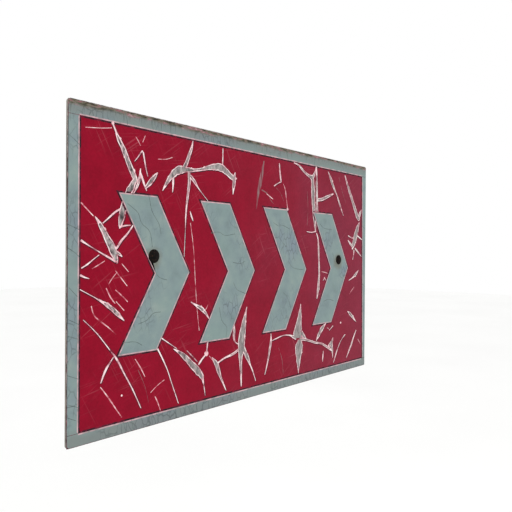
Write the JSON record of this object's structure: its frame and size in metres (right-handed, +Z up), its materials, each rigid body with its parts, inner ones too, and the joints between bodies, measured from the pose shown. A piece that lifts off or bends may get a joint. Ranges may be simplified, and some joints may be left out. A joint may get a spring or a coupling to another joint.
{
  "type": "rectangular hazard sign panel",
  "caption": "Rectangular red hazard sign panel with a pale border and pointed symbols, bolted to a backing rail with a sliding post clip.",
  "frame": {"origin": "on the axis of the post that the clip holds, at the height of the rail's centre line", "axes": "+Z up along the post, +X to the reader's right along the sign's width, -Y out of the sign's face"},
  "size_m": [0.75, 0.0939, 0.45],
  "materials": {
    "plate_aluminium": "weathered, matt",
    "red_film": "faded retroreflective film, cracked and torn",
    "pale_film": "dull retroreflective film with hairline cracks",
    "rusty_steel": "dark rust",
    "galvanised_steel": "hot-dip galvanised, dull",
    "zinc_plated_steel": "zinc plated",
    "black_plastic": "moulded, slightly rough"
  },
  "bodies": {
    "post_clip": {"clip_strap": "galvanised_steel", "clip_bolt_left": "zinc_plated_steel", "clip_bolt_right": "zinc_plated_steel", "clip_washer_left": "zinc_plated_steel", "clip_washer_right": "zinc_plated_steel", "clip_nut_left": "zinc_plated_steel", "clip_nut_right": "zinc_plated_steel"},
    "sign_board": {"sign_plate": "plate_aluminium", "red_sheeting": "red_film", "border_strip_top": "pale_film", "border_strip_bottom": "pale_film", "border_strip_left": "pale_film", "border_strip_right": "pale_film", "chevron_1": "pale_film", "chevron_2": "pale_film", "chevron_3": "pale_film", "chevron_4": "pale_film", "face_bolt_left": "rusty_steel", "face_bolt_right": "rusty_steel", "rail": "galvanised_steel", "rail_washer_left": "zinc_plated_steel", "rail_washer_right": "zinc_plated_steel", "face_nut_left": "zinc_plated_steel", "face_nut_right": "zinc_plated_steel", "rail_cap_left": "black_plastic", "rail_cap_right": "black_plastic"}
  },
  "joints": [
    {"name": "rail_slide", "type": "slide", "parent": "post_clip", "child": "sign_board", "axis": [1, 0, 0], "range_m": [-0.15, 0.15]}
  ]
}
